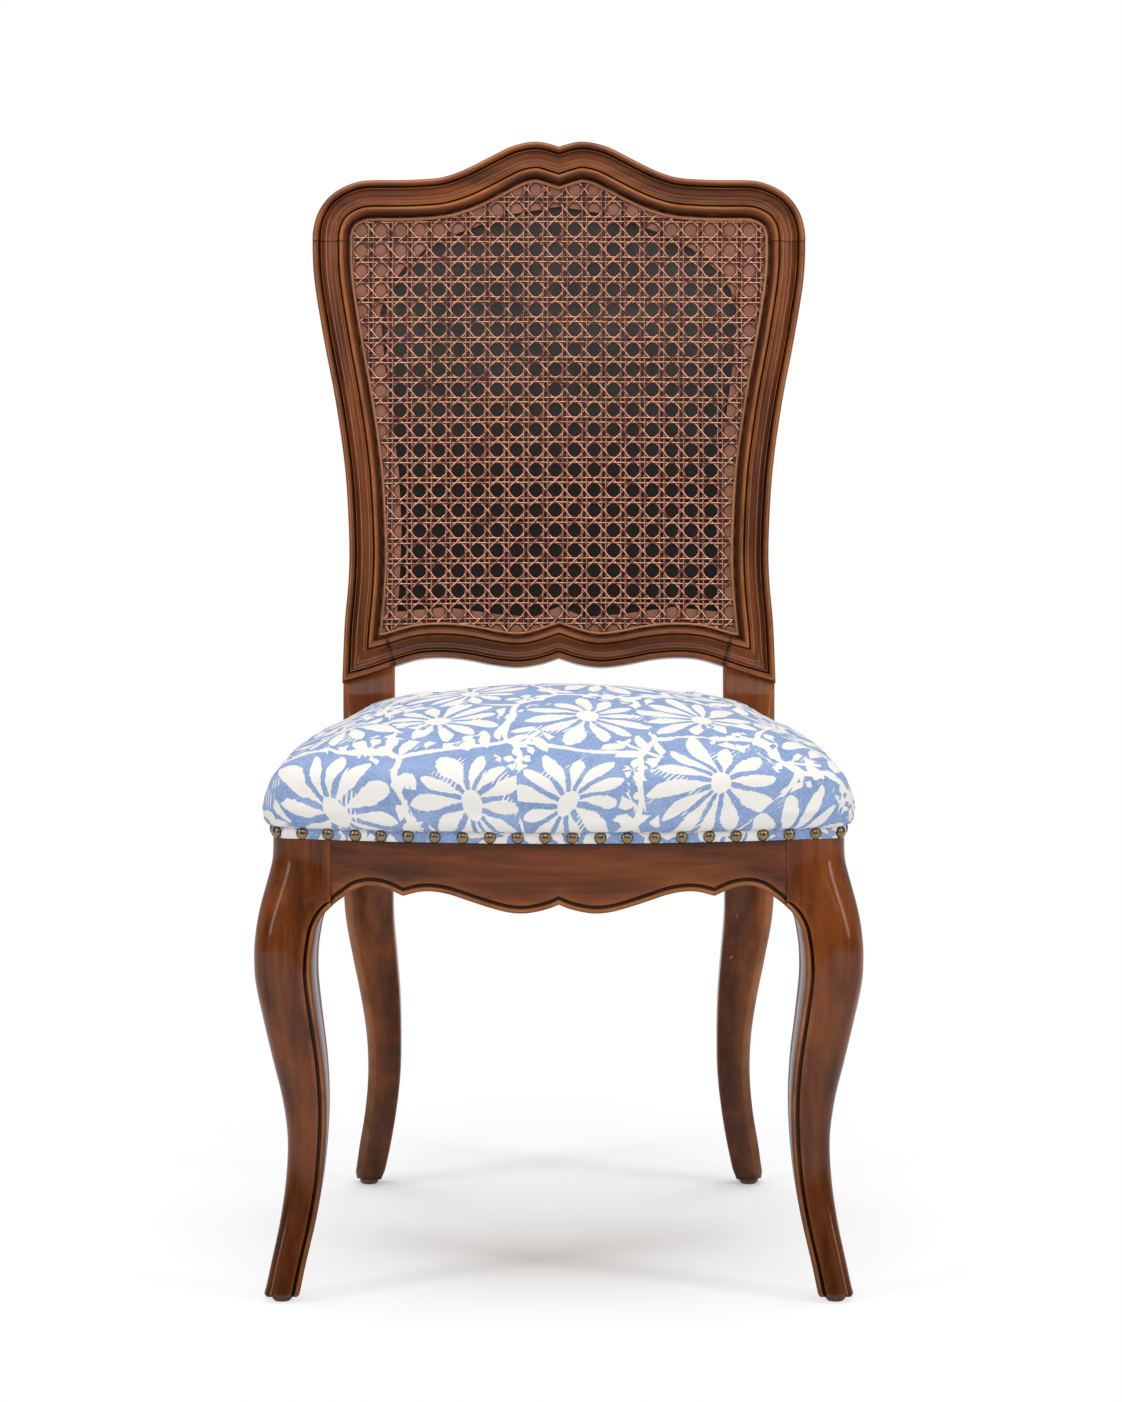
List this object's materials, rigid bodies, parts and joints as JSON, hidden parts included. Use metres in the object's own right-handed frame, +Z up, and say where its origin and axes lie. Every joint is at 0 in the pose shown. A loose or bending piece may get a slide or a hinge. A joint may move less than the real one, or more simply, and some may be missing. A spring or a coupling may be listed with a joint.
{
  "type": "dining chair",
  "caption": "Dining chair with cabriole front legs, a moulded serpentine back around a woven cane panel, and a nail-trimmed padded seat.",
  "frame": {"origin": "on the floor, under the middle of the chair's bounding box", "axes": "+Z up, +X to the chair's left as seen by someone facing it, -Y towards the front of the seat"},
  "size_m": [0.5508, 0.5905, 1.0291],
  "materials": {
    "wood": "satin",
    "beech": "matte",
    "plywood": "matte",
    "cane": "satin",
    "reed": "satin",
    "lining": "matte",
    "foam": "matte",
    "fabric": "woven",
    "band": "woven",
    "steel": "satin",
    "glide": "matte"
  },
  "bodies": {
    "root": {"back_lining": "lining", "cane_panel": "cane", "cane_spline": "reed", "corner_block_front_left": "beech", "corner_block_front_right": "beech", "corner_block_rear_left": "beech", "corner_block_rear_right": "beech", "corner_screw_front_left": "steel", "corner_screw_front_right": "steel", "corner_screw_rear_left": "steel", "corner_screw_rear_right": "steel", "crest_dowel_left": "beech", "crest_dowel_right": "beech", "crest_rail": "wood", "front_apron": "wood", "front_leg_left": "wood", "front_leg_right": "wood", "glide_front_left": "glide", "glide_front_right": "glide", "glide_rear_left": "glide", "glide_rear_right": "glide", "ledge_bottom": "wood", "ledge_left": "wood", "ledge_right": "wood", "ledge_top": "wood", "lower_back_rail": "wood", "nail_band_front": "band", "nail_band_rear": "band", "rear_apron": "wood", "rear_post_left": "wood", "rear_post_right": "wood", "seat_board": "plywood", "seat_cover": "fabric", "seat_pad": "foam", "side_apron_left": "wood", "side_apron_right": "wood"}
  },
  "joints": []
}
